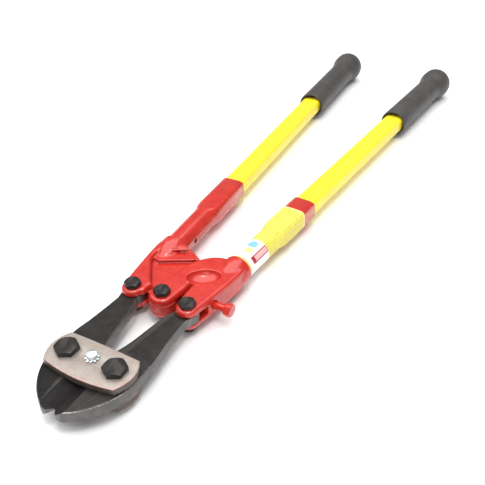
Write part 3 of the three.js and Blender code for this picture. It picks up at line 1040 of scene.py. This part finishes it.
@dataclass
class Head:
    """One forged head, with the soft edges and hollows that a die leaves."""

    side: Side
    voxel_mm: float = 0.42
    soften_steps: int = 9
    hood_end: float = 65.6
    hood_bore: float = 11.2
    hood_gap: float = 2.4
    core_radius: float = 8.6
    bowl_mm: Triple = (12.8, 8.1, 6.1)
    bead_mm: float = 0.95
    ridges_mm: tuple[tuple[tuple[float, float], tuple[float, float], float], ...] = (
        ((-31.5, 42.6), (-12.0, 53.0), 8.3),
        ((-27.4, 32.8), (-2.4, 47.4), 5.8),
    )

    def build(self) -> Piece:
        """Builds the head from its fitted blank, rounded like a forging.

        Returns:
            The finished head.
        """
        node = f"head_{self.side.word}"
        piece = Bench.blank(node, node + "_forged", flats=False)
        self.add_forms(piece)
        Bench.modify(piece, "REMESH", mode="VOXEL", voxel_size=self.voxel_mm * MM, adaptivity=0.0)
        Bench.modify(piece, "SMOOTH", factor=0.5, iterations=self.soften_steps)
        Bench.hold(piece)
        bpy.ops.object.shade_smooth()
        return deliver(piece, Body.lever(self.side), FORGED_RED, "red_paint", node)

    def add_forms(self, piece: Piece) -> None:
        """Opens the hood, and adds the right head's pockets or the left one's ridges.

        Args:
            piece: the head.
        """
        axis = HandleAxis(self.side)
        start = Vector((0, self.hood_end - self.hood_gap, 0)) * MM
        end = Vector((0, self.hood_end + 2, 0)) * MM
        ring = axis.place(Bench.cylinder("ring", 64, self.hood_bore * MM, start, end))
        beyond = Vector((0, 0.002, 0))
        core = axis.place(Bench.cylinder("core", 48, self.core_radius * MM, start - beyond, end + beyond))
        Bench.combine(piece, Bench.combine(ring, core, "DIFFERENCE"), "DIFFERENCE")
        for face in (1, -1):
            if self.side is Side.RIGHT:
                self.sink_pocket(piece, face)
            else:
                for start, end, level in self.ridges_mm:
                    self.add_bead(piece, start, end, face * level)

    def at(self, across: float, along: float, level: float) -> Vector:
        """A point of the head, measured from the centre bolt and the jaws' middle plane.

        Args:
            across: millimetres along X.
            along: millimetres along Y.
            level: millimetres along Z.

        Returns:
            The point in metres.
        """
        bolt = sum(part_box("centre_bolt"), Vector()) / 2
        middle = sum(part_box("jaw_right"), Vector()) / 2
        return Vector((bolt.x + across * MM, bolt.y + along * MM, middle.z + level * MM))

    def sink_pocket(self, piece: Piece, face: int) -> None:
        """Sinks an oval bowl into one face.

        Args:
            piece: the head.
            face: 1 for the upper face and -1 for the lower.
        """
        Bench.clear()
        bpy.ops.mesh.primitive_uv_sphere_add(segments=64, ring_count=32, radius=1,
                                             location=self.at(16.6, 30.4, face * 8.7), rotation=(0, 0, 0.6))
        bowl = Bench.named("bowl")
        bowl.scale = [half * MM for half in self.bowl_mm]
        Bench.combine(piece, Bench.settle(bowl), "DIFFERENCE")

    def add_bead(self, piece: Piece, start: tuple[float, float], end: tuple[float, float],
                 level: float) -> None:
        """Raises a low round ridge between two places.

        Args:
            piece: the head.
            start: where the ridge starts, in millimetres from the centre bolt.
            end: where it ends.
            level: height of the ridge's middle.
        """
        bead = Bench.cylinder("bead", 20, self.bead_mm * MM, self.at(*start, level), self.at(*end, level))
        Bench.combine(piece, bead, "UNION")


@dataclass
class Adjuster:
    """The red screw that sets the right head's ears."""

    rounding_mm: float = 0.5

    def build(self) -> Piece:
        """Builds the screw from its fitted blank.

        Returns:
            The finished screw.
        """
        piece = Bench.blank("adjusting_screw", "adjusting_screw_turned")
        Bench.soften(piece, self.rounding_mm, 3)
        return deliver(piece, Body.ADJUSTER, TUBE_RED, "red_paint", "adjusting_screw")


# ---------------------------------------------------------------- handles


@dataclass
class HandleAxis:
    """A handle's axis in plan: where distances along it are measured from, and its direction."""

    side: Side
    spread_deg: float = 3.56
    foot_mm: tuple[float, float] = (25.1, -2.3)

    @property
    def turn(self) -> float:
        """Angle from +Y to the axis, about Z, in radians."""
        return -self.side.value * math.radians(self.spread_deg)

    @property
    def matrix(self) -> Matrix:
        """Carries a piece drawn along +Y at the origin onto the axis.

        Returns:
            The matrix; the axis starts at its foot, by the toggle bolt.
        """
        low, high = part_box(f"toggle_bolt_{self.side.word}")
        jaw_low, jaw_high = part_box("jaw_left")
        across, behind = self.foot_mm
        start = Vector((self.side.value * across * MM, (low.y + high.y) / 2 + behind * MM,
                        (jaw_low.z + jaw_high.z) / 2))
        return Matrix.Translation(start) @ Matrix.Rotation(self.turn, 4, "Z")

    def place(self, piece: Piece) -> Piece:
        """Moves a piece drawn at the origin onto the axis."""
        piece.matrix_world = self.matrix @ piece.matrix_world
        return Bench.settle(piece)


def section_reach(width: float, height: float, power: float, angle: float) -> float:
    """How far a rounded box reaches from its middle.

    Args:
        width: size along X.
        height: size along Z.
        power: 2 is an ellipse, and more is squarer.
        angle: direction from +X towards +Z, in radians.

    Returns:
        The radius, in the sizes' unit.
    """
    across, upward = abs(math.cos(angle)) / (width / 2), abs(math.sin(angle)) / (height / 2)
    return (across ** power + upward ** power) ** (-1 / power)


@dataclass
class Tube:
    """A bar or tube made of stations along +Y, each a rounded box or a circle."""

    name: str
    points: int = 64

    def start(self, width: float, height: float, power: float, at: float) -> Piece:
        """Adds the first ring of the bar.

        Args:
            width: size along X, in millimetres.
            height: size along Z.
            power: 2 is an ellipse, and more is squarer.
            at: distance along +Y.

        Returns:
            The new piece, one open ring.
        """
        Bench.clear()
        bpy.ops.mesh.primitive_circle_add(vertices=self.points, radius=1.0, fill_type="NOTHING",
                                          rotation=(math.pi / 2, 0, 0))
        piece = Bench.settle(Bench.named(self.name))
        self.shape(piece, width, height, power, at)
        return piece

    def shape(self, piece: Piece, width: float, height: float, power: float, at: float) -> None:
        """Shapes the selected ring into a section.

        Args:
            piece: the bar.
            width: size along X, in millimetres.
            height: size along Z.
            power: 2 is an ellipse, and more is squarer.
            at: distance along +Y.
        """
        for point in piece.data.vertices:
            if point.select:
                angle = math.atan2(point.co.z, point.co.x)
                radius = section_reach(width, height, power, angle)
                point.co = Vector((radius * math.cos(angle), at, radius * math.sin(angle))) * MM

    def extend(self, piece: Piece, width: float, height: float, power: float, at: float) -> None:
        """Extrudes the open end to a new section.

        Args:
            piece: the bar.
            width: size along X, in millimetres.
            height: size along Z.
            power: 2 is an ellipse, and more is squarer.
            at: distance along +Y.
        """
        with Bench.editing(piece, "VERT"):
            bpy.ops.mesh.extrude_region_move(TRANSFORM_OT_translate={"value": (0, 0.0001, 0)})
        self.shape(piece, width, height, power, at)

    def cap(self, piece: Piece, at: float) -> None:
        """Fills an open end.

        Args:
            piece: the bar.
            at: the end's distance along +Y, in millimetres.
        """
        with Bench.editing(piece, "VERT"):
            Bench.pick_points(piece, lambda point: abs(point.y - at * MM) < 1e-6)
            bpy.ops.mesh.edge_face_add()


@dataclass
class Sleeve:
    """A red steel sleeve, round at the head and pressed square round the fibreglass."""

    side: Side
    start: float = 61.4
    crease: tuple[float, float] = (112.0, 124.0)
    end: float = 168.3
    radius: float = 10.2
    box: tuple[float, float] = (21.8, 17.2)
    wall: float = 0.85
    pin_at: float = 80.0
    pin_radius: float = 1.9
    steps: int = 8

    def build(self) -> None:
        """Builds the sleeve and its pin."""
        axis = HandleAxis(self.side)
        node = f"sleeve_{self.side.word}"
        tube = Tube(node + "_drawn")
        piece = tube.start(*self.section(self.start), self.start)
        low, high = self.crease
        crease = [low + (high - low) * step / self.steps for step in range(self.steps + 1)]
        for at in (self.start + 1, *crease, self.end):
            tube.extend(piece, *self.section(at), at)
        Bench.face_outward(piece)
        Bench.modify(piece, "SOLIDIFY", thickness=self.wall * MM, offset=-1, use_even_offset=True)
        axis.place(piece)
        hole = self.pin(axis, self.pin_radius + 0.3, 14)
        Bench.combine(piece, hole, "DIFFERENCE")
        Bench.soften(piece, 0.3, 2, 40, 40)
        deliver(piece, Body.lever(self.side), TUBE_RED, "red_paint", node)
        pin = self.pin(axis, self.pin_radius, 9.4)
        pin.name = pin.data.name = f"sleeve_pin_{self.side.word}_turned"
        Bench.soften(pin, 0.3, 3)
        deliver(pin, Body.lever(self.side), OXIDE, "black_oxide", f"sleeve_pin_{self.side.word}")

    def section(self, at: float) -> Triple:
        """The sleeve's section at a place along it.

        Args:
            at: distance along the axis.

        Returns:
            Width, height and squareness.
        """
        share = min(max((at - self.crease[0]) / (self.crease[1] - self.crease[0]), 0), 1)
        ease = share * share * (3 - 2 * share)
        size = [2 * self.radius + (flat - 2 * self.radius) * ease for flat in self.box]
        return size[0], size[1], 2 + 2.6 * ease

    def reach(self, at: float, angle: float) -> float:
        """How far the sleeve's surface is from its axis at a place and an angle, in millimetres."""
        return section_reach(*self.section(at), angle)

    def pin(self, axis: HandleAxis, radius: float, half: float) -> Piece:
        """A cylinder across the handle at the pin's place.

        Args:
            axis: the handle's axis.
            radius: its radius, in millimetres.
            half: half of its length.

        Returns:
            The cylinder.
        """
        low, high = Vector((-half, self.pin_at, 0)) * MM, Vector((half, self.pin_at, 0)) * MM
        return axis.place(Bench.cylinder("pin", 32, radius * MM, low, high))


@dataclass
class Sticker:
    """The printed label that wraps the right sleeve; plain panels only."""

    start: float = 66.2
    length: float = 84.0
    from_deg: float = 160.0
    to_deg: float = -80.0
    proud: float = 0.12

    def build(self) -> Piece:
        """Wraps a fine grid round the sleeve and prints it.

        Returns:
            The finished label.
        """
        Bench.clear()
        bpy.ops.mesh.primitive_grid_add(x_subdivisions=84, y_subdivisions=60, size=2)
        piece = Bench.named("sleeve_label")
        sleeve = Sleeve(Side.RIGHT)
        for point in piece.data.vertices:
            along = self.start + self.length * (point.co.x + 1) / 2
            angle = math.radians(self.from_deg + (self.to_deg - self.from_deg) * (point.co.y + 1) / 2)
            radius = sleeve.reach(along, angle) + self.proud
            point.co = Vector((radius * math.cos(angle), along, radius * math.sin(angle))) * MM
        HandleAxis(Side.RIGHT).place(piece)
        Bench.face_outward(piece)
        Bench.modify(piece, "SOLIDIFY", thickness=0.09 * MM, offset=1)
        Bench.hold(piece)
        bpy.ops.object.shade_smooth_by_angle(angle=math.radians(40))
        return deliver(piece, Body.LEVER_RIGHT, self.print(), "label")

    def print(self) -> LabelPrint:
        """Lays out the print: a white field with a disc, a square and a framed bar, then yellow.

        Returns:
            The label's finish.
        """
        girth = 10.4 * math.radians(self.from_deg - self.to_deg)
        pale, white = (0.86, 0.72, 0.25), (0.86, 0.86, 0.84)
        panels = (
            Panel((0.6, girth / 2), (1.6, girth), (0.86, 0.52, 0.16)),
            Panel((self.length - 0.7, girth / 2), (1.3, girth), pale),
            Panel((14.8, girth / 2), (12.6, girth), white),
            Panel((20.6, 12.2), (4.2, 4.0), (0.2, 0.47, 0.58), disc=True),
            Panel((12.4, 13.4), (3.2, 3.0), (0.5, 0.44, 0.12)),
            Panel((12.4, 13.4), (2.7, 2.5), (0.85, 0.8, 0.25)),
            Panel((16.8, 22.4), (10.4, 3.0), (0.35, 0.03, 0.04)),
            Panel((18.4, 22.4), (8.0, 2.1), (0.85, 0.42, 0.42)),
        )
        return LabelPrint("label_print", self.length, girth, (0.74, 0.66, 0.10), (0.3, 0.26, 0.05), panels)


@dataclass
class Rod:
    """The fibreglass handle."""

    side: Side
    box: Triple = (19.2, 14.8, 4.2)
    nose: Triple = (16.6, 12.8, 2.6)
    start: float = 113.0
    full: float = 123.0
    end: float = 484.0
    stations: int = 6
    yellow: Colour = (0.93, 0.76, 0.028)
    fibre: Colour = (0.86, 0.68, 0.02)

    def build(self) -> Piece:
        """Builds the rod as one long section, tapered inside the sleeve and capped at both ends.

        Returns:
            The finished rod.
        """
        axis = HandleAxis(self.side)
        node = f"handle_{self.side.word}"
        tube = Tube(node + "_rod")
        piece = tube.start(*self.nose, self.start)
        for step in range(self.stations + 1):
            tube.extend(piece, *self.box, self.full + (self.end - self.full) * step / self.stations)
        tube.cap(piece, self.start)
        tube.cap(piece, self.end)
        Bench.face_outward(piece)
        axis.place(piece)
        Bench.soften(piece, 0.4, 2, 60, 40)
        gel = Fibreglass(f"fibreglass_{self.side.word}", self.yellow, self.fibre, -axis.turn)
        return deliver(piece, Body.lever(self.side), gel, "yellow_fibreglass", node)


@dataclass
class Grip:
    """A rubber grip: mouth round the rod, slight waist, and a knob with a domed end."""

    side: Side
    start: float = 361.3
    end: float = 496.3
    mouth_radius: float = 13.4
    waist_radius: float = 13.0
    knob_radius: float = 16.5
    steps: int = 72

    def profile(self) -> list[tuple[float, float]]:
        """Radius and distance pairs from inside the mouth round to the tip.

        Returns:
            The points, in millimetres.
        """
        tip, mouth = self.end, self.mouth_radius
        points = [(9.0, self.start + 6), (11.8, self.start + 5.5), (11.9, self.start + 1.0)]
        lip = 6
        for step in range(lip + 1):
            angle = math.pi * (1 - step / lip)
            points.append((mouth - 1.0 + math.cos(angle), self.start + 1.0 - math.sin(angle)))
        waist = 10
        for step in range(1, waist + 1):
            share = step / waist
            radius = mouth + (self.waist_radius - mouth) * share
            points.append((radius, self.start + 1 + (tip - 36 - self.start) * share))
        flare = 12
        for step in range(1, flare + 1):
            share = step / flare
            ease = share * share * (3 - 2 * share)
            rise = self.knob_radius - self.waist_radius
            points.append((self.waist_radius + rise * ease, tip - 35 + 20 * share))
        shoulder = 10
        for step in range(1, shoulder + 1):
            angle = math.pi / 2 * step / shoulder
            radius = self.knob_radius - 5.5 + 5.5 * math.cos(angle)
            points.append((radius, tip - 9.5 + 7.5 * math.sin(angle)))
        dome = 5
        for step in range(1, dome + 1):
            share = step / dome
            level = tip - 2 + 2 * math.sin(math.pi / 2 * share)
            points.append(((self.knob_radius - 5.5) * (1 - share), level))
        return points

    def build(self) -> Piece:
        """Spins the profile round the handle's axis and opens the socket.

        Returns:
            The finished grip.
        """
        axis = HandleAxis(self.side)
        node = f"grip_{self.side.word}"
        outline = self.profile()
        Bench.clear()
        bpy.ops.mesh.primitive_circle_add(vertices=len(outline), radius=1.0, fill_type="NOTHING")
        piece = Bench.named(node + "_moulded")
        for point, (radius, at) in zip(piece.data.vertices, outline):
            point.co = Vector((radius, at, 0)) * MM
        with Bench.editing(piece, "EDGE"):
            bpy.ops.mesh.select_all(action="SELECT")
            bpy.ops.object.mode_set(mode="OBJECT")
            last = len(outline) - 1
            for edge in piece.data.edges:
                edge.select = set(edge.vertices) == {0, last}
            bpy.ops.object.mode_set(mode="EDIT")
            bpy.ops.mesh.delete(type="EDGE")
            bpy.ops.mesh.select_all(action="SELECT")
            bpy.ops.mesh.spin(steps=self.steps, angle=2 * math.pi, center=(0, 0, 0), axis=(0, 1, 0))
            bpy.ops.mesh.select_all(action="SELECT")
            bpy.ops.mesh.remove_doubles(threshold=0.00002)
        self.close_socket(piece)
        axis.place(piece)
        Bench.soften(piece, 0.1, 1, 80, 50)
        return deliver(piece, Body.lever(self.side), RUBBER, "black_rubber", node)

    def close_socket(self, piece: Piece) -> None:
        """Closes the mouth's floor and turns every face outwards.

        Args:
            piece: the spun grip.
        """
        with Bench.editing(piece, "VERT"):
            Bench.pick_points(piece, lambda at: abs(at.y - (self.start + 6) * MM) < 1e-6)
            bpy.ops.mesh.edge_face_add()
        Bench.face_outward(piece)


# ---------------------------------------------------------------- studio


@dataclass
class Studio:
    """Pale floor, soft light and the camera."""

    eye: Triple = (0.24474, -0.49091, 0.34660)
    target: Triple = (0.014494, -0.093724, 0.0168)
    roll_deg: float = -0.89
    lens: float = 51.744

    def build(self) -> None:
        """Sets up the floor, the lights and the camera."""
        self.floor()
        self.lights()
        self.camera()
        bpy.context.scene.view_settings.view_transform = "Standard"

    def floor(self) -> None:
        """A wide pale floor below the tool."""
        Bench.clear()
        bpy.ops.mesh.primitive_plane_add(size=8, location=(0, 0, 0))
        floor = Bench.named("floor")
        paper = Recipe("studio_paper")
        paper.fix({"Base Color": (0.93, 0.93, 0.93, 1), "Roughness": 0.9, "Specular IOR Level": 0.1})
        floor.data.materials.append(paper.material)

    def lights(self) -> None:
        """Bright even surroundings, a large soft key and a weak fill."""
        world = bpy.data.worlds.new("studio")
        world.use_nodes = True
        world.node_tree.nodes["Background"].inputs["Color"].default_value = (1, 1, 1, 1)
        world.node_tree.nodes["Background"].inputs["Strength"].default_value = 0.3
        bpy.context.scene.world = world
        for name, place, size, power in (
            ("overhead", (-0.15, -0.1, 1.3), 2.2, 41.0),
            ("front", (0.5, -1.3, 0.7), 0.5, 2.5),
            ("spark", (0.3, -0.45, 1.2), 0.22, 3.5),
        ):
            lamp = bpy.data.lights.new(name, "AREA")
            lamp.size = size
            lamp.energy = power
            holder = bpy.data.objects.new(name, lamp)
            holder.location = place
            holder.rotation_euler = (Vector((0, 0, 0)) - Vector(place)).to_track_quat("-Z", "Y").to_euler()
            bpy.context.scene.collection.objects.link(holder)

    def camera(self) -> None:
        """The camera, looking down on the jaws from the front right."""
        data = bpy.data.cameras.new("camera")
        data.lens = self.lens
        data.sensor_width = 36
        data.clip_start = 0.01
        holder = bpy.data.objects.new("camera", data)
        look = (Vector(self.target) - Vector(self.eye)).to_track_quat("-Z", "Y").to_matrix().to_4x4()
        holder.matrix_world = (Matrix.Translation(self.eye) @ look
                               @ Matrix.Rotation(math.radians(self.roll_deg), 4, "Z"))
        bpy.context.scene.collection.objects.link(holder)
        bpy.context.scene.camera = holder


def main() -> None:
    """Builds the tool piece by piece, from the jaws to the grips."""
    logging.basicConfig(level=logging.INFO, format="%(name)s: %(message)s")
    Studio().build()
    StrapSet().build()
    for side in Side:
        Jaw(side).build()
        Head(side).build()
        Sleeve(side).build()
        Rod(side).build()
        Grip(side).build()
    Sticker().build()
    RearBolts().build()
    Adjuster().build()


if __name__ == "__main__":
    main()
